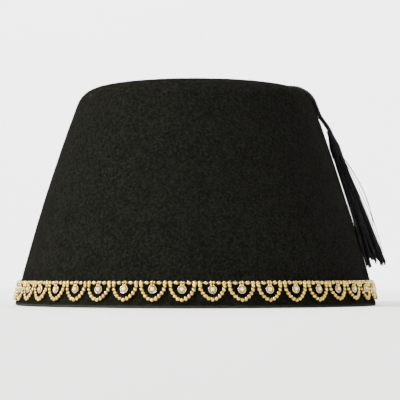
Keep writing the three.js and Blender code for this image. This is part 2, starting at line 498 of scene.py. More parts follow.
def leanNode(tree, rotation, angles):
    # a rotation followed by a lean in the copy's own axes
    lean = addNode(tree, "FunctionNodeEulerToRotation", Euler=angles)
    node = addNode(tree, "FunctionNodeRotateRotation", {"rotation_space": "LOCAL"}, Rotation=rotation)
    feedSocket(tree, node.inputs[1], lean.outputs[0])
    return node.outputs[0]


def copiesNode(tree, points, copied, rotation, scale):
    return addNode(tree, "GeometryNodeInstanceOnPoints", Points=points, Instance=copied, Rotation=rotation,
                   Scale=scale).outputs["Instances"]


def makeThreadTree():
    # a round cord of some thickness along every line
    tree, given, end = newTree("cordAlongLines", {
        "Thickness": ("Float", 1 * mm),
        "Sides": ("Int", 6),
        "Material": ("Material", None),
    })
    section = addNode(tree, "GeometryNodeCurvePrimitiveCircle", Resolution=given["Sides"],
                      Radius=sumNode(tree, "MULTIPLY", given["Thickness"], 0.5))
    cord = addNode(tree, "GeometryNodeCurveToMesh", Curve=given["Geometry"], Fill_Caps=True,
                   Profile_Curve=section.outputs["Curve"])
    smooth = addNode(tree, "GeometryNodeSetShadeSmooth", Geometry=cord.outputs["Mesh"])
    return finishTree(tree, given, end, smooth.outputs["Geometry"])


def unitBead(tree, segments=10, rings=6):
    # a ball of radius 1 whose winding map runs round and along it
    ball = addNode(tree, "GeometryNodeMeshUVSphere", Segments=segments, Rings=rings, Radius=1.0)
    mapped = addNode(tree, "GeometryNodeStoreNamedAttribute", {"data_type": "FLOAT2", "domain": "CORNER"},
                     Geometry=ball.outputs["Mesh"], Name="winding", Value=ball.outputs["UV Map"])
    lying = addNode(tree, "GeometryNodeTransform", Geometry=mapped.outputs["Geometry"],
                    Rotation=(0, math.pi / 2, 0))
    smooth = addNode(tree, "GeometryNodeSetShadeSmooth", Geometry=lying.outputs["Geometry"])
    return smooth.outputs["Geometry"]


def spread(tree, given, offset):
    # a random number within plus or minus the unevenness
    reach = given["Unevenness"]
    seed = sumNode(tree, "ADD", given["Seed"], offset)
    return randomNode(tree, sumNode(tree, "MULTIPLY", reach, -1), reach, seed)


def makeBeadTree():
    # slanted beads in a row along every line, lying on a wall round the Z axis
    tree, given, end = newTree("beadsAlongLines", {
        "Spacing": ("Float", 1.9 * mm),
        "Bead Length": ("Float", 2.6 * mm),
        "Bead Width": ("Float", 1.5 * mm),
        "Bead Depth": ("Float", 1.6 * mm),
        "Slant": ("Float", 0.6),
        "Unevenness": ("Float", 0.08),
        "Wall Lean": ("Float", 0.24),
        "Seed": ("Int", 1),
        "Material": ("Material", None),
    })
    row = addNode(tree, "GeometryNodeResampleCurve", {"mode": "LENGTH"}, Curve=given["Geometry"],
                  Length=given["Spacing"])
    place = addNode(tree, "GeometryNodeInputPosition").outputs["Position"]
    level = sumNode(tree, "MULTIPLY", place, (1, 1, 0), kind="ShaderNodeVectorMath")
    radial = sumNode(tree, "NORMALIZE", level, kind="ShaderNodeVectorMath")
    out = sumNode(tree, "ADD", radial, combine(tree, Z=given["Wall Lean"]), kind="ShaderNodeVectorMath")
    tangent = addNode(tree, "GeometryNodeInputTangent").outputs["Tangent"]
    slant = sumNode(tree, "ADD", given["Slant"], spread(tree, given, 1))
    turned = leanNode(tree, facingNode(tree, "X", tangent, "Z", out),
                      combine(tree, X=spread(tree, given, 2), Z=slant))
    sizes = {}
    for offset, axis, label in ((3, "X", "Bead Length"), (4, "Y", "Bead Width"), (5, "Z", "Bead Depth")):
        trim = sumNode(tree, "MULTIPLY", spread(tree, given, offset), given[label])
        sizes[axis] = sumNode(tree, "MULTIPLY_ADD", given[label], 0.5, trim)
    beads = copiesNode(tree, row.outputs["Curve"], unitBead(tree), turned, combine(tree, **sizes))
    return finishTree(tree, given, end, beads)


def makePlaceTree():
    # one copy of an object at every point, turned and sized by the point's own attributes
    tree, given, end = newTree("setOnPlaces", {
        "Piece": ("Object", None),
        "Material": ("Material", None),
    })
    along, outward, size = (fieldNode(tree, "FLOAT_VECTOR", label) for label in ("along", "outward", "size"))
    shape = addNode(tree, "GeometryNodeObjectInfo", Object=given["Piece"]).outputs["Geometry"]
    copies = copiesNode(tree, given["Geometry"], shape, facingNode(tree, "Z", outward, "X", along), size)
    return finishTree(tree, given, end, copies)


def makeBallTree():
    # a single bead with its winding map, as the object that the places repeat
    tree, given, end = newTree("singleBead", {"Material": ("Material", None)})
    return finishTree(tree, given, end, unitBead(tree))


def makeNapTree():
    # loose fibres that lean over on every face, more or fewer by the face's share
    tree, given, end = newTree("fibresOnFaces", {
        "Density": ("Float", 400000.0),
        "Fibre Length": ("Float", 1 * mm),
        "Fibre Width": ("Float", 0.06 * mm),
        "Least Lean": ("Float", 1.0),
        "Most Lean": ("Float", 1.4),
        "Least Size": ("Float", 0.5),
        "Most Size": ("Float", 1.4),
        "Seed": ("Int", 1),
        "Material": ("Material", None),
    })
    density = sumNode(tree, "MULTIPLY", fieldNode(tree, "FLOAT", "napShare"), given["Density"])
    roots = addNode(tree, "GeometryNodeDistributePointsOnFaces", Mesh=given["Geometry"], Density=density,
                    Seed=given["Seed"]).outputs
    fibre = addNode(tree, "GeometryNodeMeshCone", Vertices=3, Side_Segments=1, Radius_Top=0.0,
                    Radius_Bottom=given["Fibre Width"], Depth=given["Fibre Length"])
    lean = randomNode(tree, given["Least Lean"], given["Most Lean"], given["Seed"])
    spin = randomNode(tree, 0.0, fullTurn, given["Seed"])
    size = randomNode(tree, given["Least Size"], given["Most Size"], given["Seed"])
    turned = leanNode(tree, roots["Rotation"], combine(tree, X=lean, Z=spin))
    return finishTree(tree, given, end, copiesNode(tree, roots["Points"], fibre.outputs["Mesh"], turned, size))


cordTree = makeThreadTree()
beadTree = makeBeadTree()
placeTree = makePlaceTree()
ballTree = makeBallTree()
napTree = makeNapTree()
print("geometry trees ready")


# Felt shell and the loose wool fibres that stand off it
nap = {
    "density": 420000.0,         # fibres to a square metre of outer felt
    "inside": 0.15,              # share of that on the inside
    "length": 1.5 * mm,
    "width": 0.07 * mm,
    "clearOfRim": 2.4 * mm,
    "leastLean": 66,             # degrees from upright
    "mostLean": 87,
    "leastSize": 0.5,
    "mostSize": 1.4,
    "seed": 5,
}

shell = {
    "sides": 288,
    "wallRows": 64,
    "shoulderRows": 14,
    "topRows": 20,
    "innerRows": 40,
    "innerFrom": 1.5,            # lowest row inside, in roundings of the rim
    "edgeRound": 0.55 * mm,      # rounding of the cut rim
    "edgeRows": 4,
    "flatFrom": 0.8,             # how far up a row must face before it drifts as the top does
    "flatSpan": 0.2,
}


def shoulderShare():
    # the share of the wall's height at which the shoulder's arc leaves it
    low, high = 0.0, 1.0
    for halving in range(40):
        middle = (low + high) / 2
        height, outX, outZ = wallLine(middle)[1:]
        if height - outZ * hat["shoulder"] < hat["height"] - hat["shoulder"]:
            low = middle
        else:
            high = middle
    return low


def shoulderMiddle():
    # the middle of the shoulder's arc, and the way out where the wall meets it
    radius, height, outX, outZ = wallLine(shoulderShare())
    return radius - outX * hat["shoulder"], height - outZ * hat["shoulder"], outX, outZ


def capOutline(inset, wallRows):
    # places and outward ways from just above the rim to the middle of the top, at some depth of felt
    end = shoulderShare()
    first = shell["edgeRound"] / hat["height"]
    rows = []
    for row in range(wallRows):
        radius, height, outX, outZ = wallLine(first + (end - first) * row / wallRows)
        rows.append((radius - outX * inset, height - outZ * inset, outX, outZ))
    middleX, middleZ, outX, outZ = shoulderMiddle()
    start = math.atan2(outZ, outX)
    for row in range(shell["shoulderRows"] + 1):
        turn = start + (math.pi / 2 - start) * row / shell["shoulderRows"]
        across, up = polar(hat["shoulder"] - inset, turn)
        rows.append((middleX + across, middleZ + up, *polar(1, turn)))
    for row in range(1, shell["topRows"] + 1):
        rows.append((middleX * (1 - row / shell["topRows"]), hat["height"] - inset, 0, 1))
    return rows


def rimRound(outer, inner):
    # radius and height round the cut edge: a flat lower face with both corners rounded off
    size = shell["edgeRound"]
    corner = [polar(size, math.pi / 2 * row / shell["edgeRows"]) for row in range(shell["edgeRows"] + 1)]
    rows = [(inner[0] + size - across, size - up) for across, up in corner]
    return rows + [(outer[0] - size + up, size - across) for across, up in corner]


def makeShell():
    outer = capOutline(0, shell["wallRows"])
    inner = capOutline(hat["felt"], shell["innerRows"])
    inner = [row for row in inner if row[1] > shell["edgeRound"] * shell["innerFrom"]]
    rows = [(*row, -1) for row in reversed(inner)]        # the last column: -1 inside, 0 at the edge, 1 outside
    rows += [(*row, 0, 0, 0) for row in rimRound(outer[0], inner[0])]
    rows += [(*row, 1) for row in outer[1:]]
    verts, rings = [], []
    sides = shell["sides"]
    for radius, height, outX, outZ, side in rows:
        if radius < 1e-6:
            rings.append([len(verts)] * sides)
            verts.append((0, 0, height + softDrift(0, height)))
            continue
        rings.append(list(range(len(verts), len(verts) + sides)))
        for step in range(sides):
            angle = fullTurn * step / sides
            drift = softDrift(angle, height)
            if side == 0:
                verts.append((*polar(radius + drift, angle), height))
                continue
            flatness = max(0.0, outZ - shell["flatFrom"]) / shell["flatSpan"]
            drift = drift * (1 - flatness) + softDrift(0, height) * flatness
            if side == 1:
                place = Vector((*polar(radius, angle), height))
                drift += hat["mottle"] * noise.noise(place / hat["mottleSize"])
            verts.append((*polar(radius + outX * drift, angle), height + outZ * drift))
    shares = []
    for row, after in zip(rows, rows[1:]):
        share = {-1: nap["inside"], 0: 0.0, 1: 1.0}[row[4]]
        shares += [share if min(row[1], after[1]) > nap["clearOfRim"] else 0.0] * sides
    piece = meshPiece("feltShell", verts, bandFaces(rings), blackFelt)
    piece.data.attributes.new("napShare", "FLOAT", "FACE").data.foreach_set("value", shares)
    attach(piece, "root")
    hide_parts("felt_body")
    return piece


def makeNap():
    source = addObject("napSource", feltShell.data.copy())
    piece = growPiece("feltNap", source, napTree, {
        "Density": nap["density"], "Fibre Length": nap["length"], "Fibre Width": nap["width"] / 2,
        "Least Lean": math.radians(nap["leastLean"]), "Most Lean": math.radians(nap["mostLean"]),
        "Least Size": nap["leastSize"], "Most Size": nap["mostSize"], "Seed": nap["seed"],
        "Material": blackFelt})
    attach(piece, "root")
    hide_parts("felt_body")
    return piece


feltShell = makeShell()
print("felt shell", len(feltShell.data.polygons), "faces")
feltNap = makeNap()
print("felt nap", len(feltNap.data.polygons), "faces")


# Gold braid: all heights run up the slope of the wall from the rim
braid = {
    "scallops": 42,
    "topLine": 11.9 * mm,        # the top line's middle
    "loopDepth": 8.35 * mm,      # from there to the middle of the loop's lowest stretch
    "cornerInset": 1.22 * mm,    # half the distance between neighbouring loops' ends
    "loopSpacing": 1.82 * mm,
    "beadLength": 2.55 * mm,
    "beadWidth": 1.9 * mm,
    "beadDepth": 1.9 * mm,
    "slant": 0.72,
    "core": 1.1 * mm,
    "coreSides": 6,
    "coreSteps": 6,              # of the top line's core, to a scallop
    "lift": 0.95 * mm,           # of the cord's middle off the felt
    "unevenness": 0.05,
    "wallLean": 0.24,            # rise of the way out from the leaning wall
    "loopTrim": 0.03,            # share by which one loop's width and depth differ from the next
    "loopWidths": (-1, 0.3),     # narrowest and widest loop, in loopTrims
    "loopDepths": (-1, 0.6),
    "loopSway": 0.3 * mm,        # sideways, of a loop's lowest point
    "topTilt": 0.12,             # of the top line's beads
    "topTrim": 0.06,             # share by which their sizes differ
    "seed": 7,
}

# Half a loop from its end down to its lowest point, as shares of its half width and depth
loopShape = [
    {"across": 1.0, "down": 0.17},
    {"across": 0.99, "down": 0.28},
    {"across": 0.94, "down": 0.40},
    {"across": 0.85, "down": 0.53},
    {"across": 0.73, "down": 0.66},
    {"across": 0.58, "down": 0.78},
    {"across": 0.39, "down": 0.90},
    {"across": 0.19, "down": 0.975},
    {"across": 0.0, "down": 1.0},
]

# The beads of one scallop's top line, in millimetres from its middle: across, up from the line, out from the
# felt, then length along the bead, width and depth. Upright beads stand across the line.
topBeads = [
    {"name": "twin", "across": 0.62, "up": 0.1, "out": 1.15,
     "long": 1.5, "wide": 1.9, "deep": 1.7, "upright": False, "tilt": 0},
    {"name": "bar", "across": 2.95, "up": 0.0, "out": 1.05,
     "long": 2.6, "wide": 2.1, "deep": 1.9, "upright": False, "tilt": 0.1},
    {"name": "strand", "across": 5.72, "up": -0.15, "out": 1.15,
     "long": 2.7, "wide": 2.3, "deep": 2.0, "upright": True, "tilt": 0},
    {"name": "stem", "across": 0.52, "up": -1.4, "out": 1.6,
     "long": 1.6, "wide": 1.2, "deep": 1.4, "upright": True, "tilt": 0},
]


def topLineRadius():
    return wallLine(shareAtSlant(braid["topLine"]))[0]


def brimPlace(scallop, across, up, out):
    # a place of the braid, from the middle of one scallop's top line
    slant = braid["topLine"] + up
    angle = fullTurn * scallop / braid["scallops"] + across / topLineRadius()
    return onWall(slant, out, angle), wallAxes(slant, angle)


def loopLines():
    halfWidth = math.pi * topLineRadius() / braid["scallops"] - braid["cornerInset"]
    shape = [(row["across"], row["down"]) for row in loopShape]
    shape += [(-across, down) for across, down in reversed(shape[:-1])]
    dice = random.Random(braid["seed"] + 2)
    lines = []
    for scallop in range(braid["scallops"]):
        width = halfWidth * (1 + dice.uniform(*braid["loopWidths"]) * braid["loopTrim"])
        depth = braid["loopDepth"] * (1 + dice.uniform(*braid["loopDepths"]) * braid["loopTrim"])
        sway = dice.uniform(-1, 1) * braid["loopSway"]
        lines.append([brimPlace(scallop, across * width + sway * down * down, -down * depth, braid["lift"])[0]
                      for across, down in shape])
    return lines


def topLinePath():
    steps = braid["scallops"] * braid["coreSteps"]
    return [onWall(braid["topLine"], braid["lift"], fullTurn * step / steps) for step in range(steps)]


def topBeadPlaces():
    dice = random.Random(braid["seed"])
    places = []
    for scallop in range(braid["scallops"]):
        for row in topBeads:
            for side in (-1, 1):
                at, (along, out, up) = brimPlace(scallop, side * row["across"] * mm, row["up"] * mm,
                                                 row["out"] * mm)
                tilt = dice.uniform(-braid["topTilt"], braid["topTilt"]) + side * row["tilt"]
                main, other = (up, along) if row["upright"] else (along, up)
                size = [row[part] * mm / 2 * dice.uniform(1 - braid["topTrim"], 1 + braid["topTrim"])
                        for part in ("long", "wide", "deep")]
                places.append({"at": at, "along": main * math.cos(tilt) + other * math.sin(tilt),
                               "outward": out, "size": size})
    return places


def makeBraid():
    core = {"Thickness": braid["core"], "Sides": braid["coreSides"], "Material": coreAndShade}
    loops = growPiece("loopBeads", linesObject("loopLines", loopLines()), beadTree, {
        "Spacing": braid["loopSpacing"], "Bead Length": braid["beadLength"], "Bead Width": braid["beadWidth"],
        "Bead Depth": braid["beadDepth"], "Slant": braid["slant"], "Unevenness": braid["unevenness"],
        "Wall Lean": braid["wallLean"], "Seed": braid["seed"], "Material": goldThread})
    cores = growPiece("loopCores", linesObject("coreLines", loopLines()), cordTree, core)
    line = growPiece("lineCore", linesObject("topLinePath", [topLinePath()], closed=True), cordTree, core)
    ball = growPiece("ball", linesObject("ballSource", [[(0, 0, 0), (0, 0, 1)]]), ballTree,
                     {"Material": goldThread})
    beads = growPiece("topBeads", placesObject("topBeadPlaces", topBeadPlaces()), placeTree,
                      {"Piece": ball, "Material": goldThread})
    bpy.data.objects.remove(ball)
    piece = joinPieces("goldBraid", [loops, cores, line, beads])
    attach(piece, "root")
    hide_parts("gold_braid")
    return piece


goldBraid = makeBraid()
print("gold braid", len(goldBraid.data.polygons), "faces")


# Stones and their settings
stone = {
    "drop": 3.25 * mm,           # from the top line's middle to the stone's
    "lift": 0.1 * mm,
    "wander": 0.12 * mm,         # sideways, from the loop's middle
    "tilt": 0.06,
    "width": 4.15 * mm,          # over the setting
    "settingDepth": 1.5 * mm,
    "settingSides": 20,
    "lip": 0.5 * mm,
    "prongs": 4,
    "prongSize": 0.72 * mm,
    "prongNarrowing": 0.8,
    "prongInset": 0.75,          # share of the lip
    "prongHeight": 0.95,         # share of the setting's depth
    "prongSides": 8,
    "prongRows": 5,
    "facets": 8,                 # in each ring of the crown
    "girdle": 1.5 * mm,          # radius of the stone itself
    "girdleHeight": 0.15 * mm,
    "crown": 0.95 * mm,
    "base": 1.15 * mm,           # from the felt to the girdle
    "footDrop": 0.6 * mm,        # from the girdle down
    "footWidth": 0.55,           # these are shares of the girdle's radius
    "middleWidth": 0.8,
    "tableWidth": 0.56,
    "middleHeight": 0.6,         # share of the crown's height
    "shadeTable": 1.0,           # how bright each kind of facet is painted, as painted highlight and shade, from 0 to 1
    "shadeStar": (0.45, 0.2),
    "shadeKite": (0.1, 0.3),
    "shadeEdge": (0.0, 0.15),
    "shadeFoot": 0.0,
    "seed": 11,
}


def settingOutline():
    # a shallow cup with a rolled lip
    radius, depth, lip = stone["width"] / 2, stone["settingDepth"], stone["lip"]
    return [
        (0, 0.1 * mm), (radius * 0.8, 0.1 * mm), (radius * 0.94, 0.3 * mm), (radius, depth * 0.55),
        (radius, depth * 0.85), (radius - lip * 0.25, depth), (radius - lip * 0.6, depth * 0.98),
        (radius - lip, depth * 0.85), (radius - lip * 1.15, depth * 0.6), (0, depth * 0.5),
    ]


def prongOutline():
    rows = stone["prongRows"]
    return [polar(stone["prongSize"] / 2, math.pi * (row / rows - 0.5)) for row in range(rows + 1)]


def prongedSetting():
    # the cup with small prongs bent over its lip
    pieces = [turnedMesh("settingCup", settingOutline(), stone["settingSides"], settingMetal)]
    for prong in range(stone["prongs"]):
        turn = fullTurn * (prong + 0.5) / stone["prongs"]
        piece = turnedMesh("prong", prongOutline(), stone["prongSides"], settingMetal)
        for vert in piece.data.vertices:
            across, along, up = vert.co
            along *= stone["prongNarrowing"]
            reach = stone["width"] / 2 - stone["lip"] * stone["prongInset"] + across
            vert.co = (reach * math.cos(turn) - along * math.sin(turn),
                       reach * math.sin(turn) + along * math.cos(turn),
                       up + stone["settingDepth"] * stone["prongHeight"])
        pieces.append(piece)
    return joinPieces("prongedSetting", pieces)


def cutStone():
    # table, star facets, kites and lower facets over a short girdle
    girdle, crown, base, count = stone["girdle"], stone["crown"], stone["base"], stone["facets"]
    verts, faces, shades = [], [], []

    def ring(sides, width, height, offset=0.0):
        for step in range(sides):
            verts.append((*polar(girdle * width, fullTurn * (step + offset) / sides), height))
        return list(range(len(verts) - sides, len(verts)))

    def facet(corners, shade):
        faces.append(tuple(corners))
        shades.append(shade)

    foot = ring(2 * count, stone["footWidth"], base - stone["footDrop"])
    low = ring(2 * count, 1, base)
    high = ring(2 * count, 1, base + stone["girdleHeight"])
    middle = ring(count, stone["middleWidth"], base + crown * stone["middleHeight"], 0.5)
    table = ring(count, stone["tableWidth"], base + crown)
    facet(reversed(foot), stone["shadeFoot"])
    for corners in bandFaces([foot, low, high]):
        facet(corners, stone["shadeFoot"])
    for step in range(count):
        after = (step + 1) % count
        edge = [high[2 * step], high[2 * step + 1], high[2 * after]]
        facet((edge[0], edge[1], middle[step]), stone["shadeEdge"][0])
        facet((edge[1], edge[2], middle[step]), stone["shadeEdge"][1])
        facet((edge[2], middle[after], table[after], middle[step]), stone["shadeKite"][step % 2])
        facet((table[step], middle[step], table[after]), stone["shadeStar"][step % 2])
    facet(table, stone["shadeTable"])
    piece = meshPiece("cutStone", verts, faces, stoneGlass, smooth=False)
    # each facet keeps its painted highlight or shade as a value of its own
    piece.data.attributes.new("paintedFacetLight", "FLOAT", "FACE").data.foreach_set("value", shades)
    return piece


def stonePlaces():
    dice = random.Random(stone["seed"])
    lean = stone["tilt"]
    places = []
    for scallop in range(braid["scallops"]):
        at, (along, out, up) = brimPlace(scallop, dice.uniform(-1, 1) * stone["wander"], -stone["drop"],
                                         stone["lift"])
        turn = dice.uniform(0, fullTurn)
        tilt = along * dice.uniform(-lean, lean) + up * dice.uniform(-lean, lean)
        places.append({"at": at, "along": along * math.cos(turn) + up * math.sin(turn),
                       "outward": (out + tilt).normalized(), "size": (1, 1, 1)})
    return places


def makeStones():
    pieces = []
    for name, source, material, slot in (
        ("stoneSettings", prongedSetting(), settingMetal, "setting"),
        ("stones", cutStone(), stoneGlass, "stone"),
    ):
        piece = growPiece(name, placesObject(name + "Places", stonePlaces()), placeTree,
                          {"Piece": source, "Material": material})
        bpy.data.objects.remove(source)
        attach(piece, "root")
        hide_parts("gold_braid")
        pieces.append(piece)
    return pieces


stoneSettings, stones = makeStones()
print("stones", len(stones.data.polygons), "facets in settings of", len(stoneSettings.data.polygons), "faces")


# Button in the middle of the top
button = {
    "width": 13 * mm,
    "height": 4.6 * mm,
    "gap": 0.3 * mm,
    "sides": 96,
    "pleats": 16,
    "pucker": 0.18 * mm,         # depth of the pleats, which are gone at 1 / puckerFade of the height
    "puckerFade": 1.6,
    "calmMiddle": 0.5 * mm,
}

buttonShape = [
    {"across": 0, "up": 0}, {"across": 0.5, "up": 0}, {"across": 0.86, "up": 0.0}, {"across": 0.95, "up": 0.08},
    {"across": 0.995, "up": 0.24}, {"across": 1.0, "up": 0.4}, {"across": 0.975, "up": 0.58},
    {"across": 0.91, "up": 0.73}, {"across": 0.81, "up": 0.84}, {"across": 0.66, "up": 0.92},
    {"across": 0.46, "up": 0.97}, {"across": 0.24, "up": 0.993}, {"across": 0, "up": 1.0},
]


def makeButton():
    outline = [(row["across"] * button["width"] / 2, row["up"] * button["height"]) for row in buttonShape]
    piece = turnedMesh("coveredButton", outline, button["sides"], blackFelt)
    for vert in piece.data.vertices:
        fade = max(0.0, 1 - vert.co.z / button["height"] * button["puckerFade"])
        angle = math.atan2(vert.co.y, vert.co.x)
        pucker = button["pucker"] * math.cos(button["pleats"] * angle) * fade
        reach = math.hypot(vert.co.x, vert.co.y)
        if reach > button["calmMiddle"]:
            vert.co.x *= 1 + pucker / reach
            vert.co.y *= 1 + pucker / reach
        vert.co.z += hat["height"] + button["gap"]
    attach(piece, "root")
    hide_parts("crown_button")
    return piece


coveredButton = makeButton()
print("button", len(coveredButton.data.polygons), "faces")


# Tassel cord: the route's places, in millimetres, are those of the model
cordRoute = [
    (6.8, 0, 116.5), (10, 0.1, 116.5), (13.5, 0.6, 116.5), (17, 1.9, 116.5), (21, 3.9, 116.5),
    (25, 5.9, 116.5), (29.5, 7.2, 116.5), (34, 7.3, 116.5), (38.5, 6.1, 116.5), (43, 4.1, 116.5),
    (47.2, 2.2, 116.5), (51.5, 0.9, 116.5), (55.4, 0.3, 115.9), (59, 0, 114.3), (62.1, 0, 111.8),
    (64.3, 0, 108.5), (65.7, 0, 104.8), (67.2, 0, 101), (68.9, 0, 98), (70.6, 0, 95.4), (71.9, 0, 93),
]
cord = {
    "thickness": 2.4 * mm,
    "strands": 3,
    "strandShare": 0.58,         # of the cord's thickness
    "pitch": 5.5 * mm,
    "strandSides": 8,
    "pointsPerTurn": 14,
    "settle": 0.45 * mm,         # how far it sinks onto the felt, from where the model keeps it clear
    "settleEnds": 8 * mm,        # above the tassel's head, where it lifts off again
}


def smoothPath(places, step, parts=24):
    # an even walk along a soft curve through the places
    dense = []
    for index in range(len(places) - 1):
        before, here = places[max(index - 1, 0)], places[index]
        after, later = places[index + 1], places[min(index + 2, len(places) - 1)]
        for part in range(parts):
            t = part / parts
            bend = (2 * before - 5 * here + 4 * after - later) * t * t
            turn = (3 * here - before - 3 * after + later) * t ** 3
            dense.append(0.5 * ((2 * here) + (after - before) * t + bend + turn))
    dense.append(places[-1])
    lengths = [0.0]
    for low, high in zip(dense, dense[1:]):
        lengths.append(lengths[-1] + (high - low).length)
    count = max(2, round(lengths[-1] / step))
    path = []
    for index in range(count + 1):
        goal = lengths[-1] * index / count
        found = min(max(bisect.bisect_right(lengths, goal) - 1, 0), len(dense) - 2)
        part = (goal - lengths[found]) / (lengths[found + 1] - lengths[found])
        path.append(dense[found].lerp(dense[found + 1], min(max(part, 0), 1)))
    return path, lengths[-1]


def twistedLines(path, reach, count, pitch):
    # strands that wind round a path at some distance from it
    side = Vector((0, 1, 0))
    lines = [[] for strand in range(count)]
    walked = 0.0
    for index, place in enumerate(path):
        ahead = (path[min(index + 1, len(path) - 1)] - path[max(index - 1, 0)]).normalized()
        side = (side - ahead * side.dot(ahead)).normalized()
        other = ahead.cross(side)
        if index:
            walked += (place - path[index - 1]).length
        for strand in range(count):
            turn = fullTurn * (walked / pitch + strand / count)
            lines[strand].append(place + (side * math.cos(turn) + other * math.sin(turn)) * reach)
    return lines


def towardsFelt(place):
    # the way in from a place over the top, the shoulder or the wall
    middleX, middleZ, outX, outZ = shoulderMiddle()
    if place.x < middleX:
        return Vector((0, 0, -1))
    way = Vector((middleX - place.x, 0, middleZ - place.z)).normalized()
    return way if way.z < -outZ else Vector((-outX, 0, -outZ))


def makeCord():
    route = [Vector(place) * mm for place in cordRoute]
    path, length = smoothPath(route, cord["pitch"] / cord["pointsPerTurn"])
    for index, place in enumerate(path):
        left = length * (1 - index / (len(path) - 1))
        path[index] = place + towardsFelt(place) * cord["settle"] * min(1.0, left / cord["settleEnds"])
    strand = cord["thickness"] * cord["strandShare"]
    lines = twistedLines(path, (cord["thickness"] - strand) / 2, cord["strands"], cord["pitch"])
    piece = growPiece("tasselCord", linesObject("strandLines", lines), cordTree,
                      {"Thickness": strand, "Sides": cord["strandSides"], "Material": blackRayon})
    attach(piece, "root")
    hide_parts("tassel_cord")
    return piece, path, length


tasselCord, cordPath, cordLength = makeCord()
print("tassel cord", round(cordLength / mm, 1), "mm")


# Tassel: head and threads lie against the wall, in places of (across, out, down from the neck's top)
tassel = {
    "top": 95.5 * mm,            # of the neck, up the slope from the rim
    "length": 78 * mm,
    "gap": 0.12 * mm,
    "neckWidth": 3.2 * mm,
    "headWidth": 6 * mm,
    "neckLength": 1.5 * mm,
    "headTaper": 9 * mm,
    "headLength": 15 * mm,
    "wrapThread": 0.6 * mm,
    "wrapThreadSides": 6,
    "wrapPitch": 0.96,           # share of the wrapping thread's thickness
    "wrapSteps": 18,             # to a turn
    "coreSink": 0.55,            # of the core below the head's outside, as a share of the wrapping thread
    "coreRows": 20,
    "coreSides": 16,
    "footHalfWidth": 8.6 * mm,
    "footDepth": 10.2 * mm,
    "thread": 0.75 * mm,
    "threadSides": 5,
    "threadSteps": 12,
    "threadsPerBundle": 8,
    "bundleSpread": 0.95 * mm,   # of a bundle's threads at their ends
    "bundleFlatness": 0.7,
    "rootDepth": 2.5 * mm,       # of the threads' start, up inside the head
    "rootReach": 2.7 * mm,       # of the threads inside the head's mouth
    "rootLeast": 0.55,           # share of that reach
    "rootMiddle": 0.5,           # out from the felt, in the feet's shares
    "rootFlatness": 0.6,
    "rootTurn": 0.6,             # either way, in radians
    "raggedness": 8 * mm,        # of the bundles' ends
    "threadRaggedness": 0.4,     # share of it between one bundle's threads
    "spread": 1.08,              # how late the threads part: 1 is evenly
    "leastWaver": 0.15,          # in millimetres
    "mostWaver": 0.5,
    "outWaver": 0.6,             # share of it that goes out from the felt
    "acrossWaves": 8,
    "outWaves": 7,
    "leastLift": 0.6,            # of a thread's middle off the felt, in threads
    "strayThread": 0.3 * mm,
    "strayThreadSides": 4,
    "strayDepth": 2 * mm,
    "strayRoot": 0.35,
    "seed": 23,
}
headMiddle = tassel["gap"] + tassel["headWidth"] / 2


def tasselPlace(across, out, down):
    # a place of the tassel, at some way below its neck's top
    up = tassel["top"] - down
    return onWall(up, out, across / wallLine(shareAtSlant(up))[0])


def headPlace(down, inset, turn):
    # a place round the wrapped head, at some depth below its outside
    neck, head = tassel["neckWidth"] / 2, tassel["headWidth"] / 2
    share = min(max((down - tassel["neckLength"]) / tassel["headTaper"], 0), 1)
    share = share * share * (3 - 2 * share)
    across, out = polar(neck + (head - neck) * share - inset, turn)
    return tasselPlace(across, headMiddle + out, down)


def headLine():
    # a thread wound closely down neck and head
    thread = tassel["wrapThread"]
    turns = tassel["headLength"] / (thread * tassel["wrapPitch"])
    steps = int(turns * tassel["wrapSteps"])
    return [headPlace(tassel["headLength"] * step / steps, thread / 2, fullTurn * turns * step / steps)
            for step in range(steps + 1)]


def headCore():
    # what the winding lies on, so that nothing shows through it
    rows, sides = tassel["coreRows"], tassel["coreSides"]
    inset = tassel["wrapThread"] * tassel["coreSink"]
    verts = [headPlace(tassel["headLength"] * row / rows, inset, fullTurn * side / sides)
             for row in range(rows + 1) for side in range(sides)]
    rings = [list(range(row * sides, (row + 1) * sides)) for row in range(rows + 1)]
    caps = [tuple(reversed(rings[0])), tuple(rings[-1])]
    return meshPiece("tasselCore", verts, bandFaces(rings) + caps, blackRayon)


# Where the bundles of threads end: across the tassel and out from the felt, as shares of its foot's width and
# depth. They fill the tassel so that only thin slits of light fall between them in the lower half.
bundleFeet = [
    {"across": -0.92, "out": 0.07}, {"across": -0.55, "out": 0.16}, {"across": -0.18, "out": 0.05},
    {"across": 0.2, "out": 0.18}, {"across": 0.58, "out": 0.06}, {"across": 0.95, "out": 0.14},
    {"across": -0.74, "out": 0.34}, {"across": -0.3, "out": 0.27}, {"across": 0.12, "out": 0.45},
    {"across": 0.5, "out": 0.3}, {"across": 0.84, "out": 0.41},
    {"across": -0.56, "out": 0.57}, {"across": -0.12, "out": 0.68}, {"across": 0.3, "out": 0.54},
    {"across": 0.68, "out": 0.71},
    {"across": -0.3, "out": 0.85}, {"across": 0.05, "out": 0.97}, {"across": 0.38, "out": 0.82},
]

# Threads that have come away from the tassel's outer side, each with its end's way down and its bow at most
strayThreads = [
    {"across": 0.35, "out": 1.02, "end": 62, "bow": 2.6}, {"across": -0.2, "out": 1.04, "end": 70, "bow": 1.7},
    {"across": 0.7, "out": 0.95, "end": 55, "bow": 3.2}, {"across": -0.6, "out": 0.8, "end": 74, "bow": 1.2},
    {"across": 0.1, "out": 1.0, "end": 76, "bow": 0.9}, {"across": 0.9, "out": 0.3, "end": 60, "bow": 1.4},
    {"across": -0.95, "out": 0.4, "end": 66, "bow": 1.5},
]


def footPlace(row):
    return tassel["footHalfWidth"] * row["across"], tassel["gap"] + tassel["footDepth"] * row["out"]


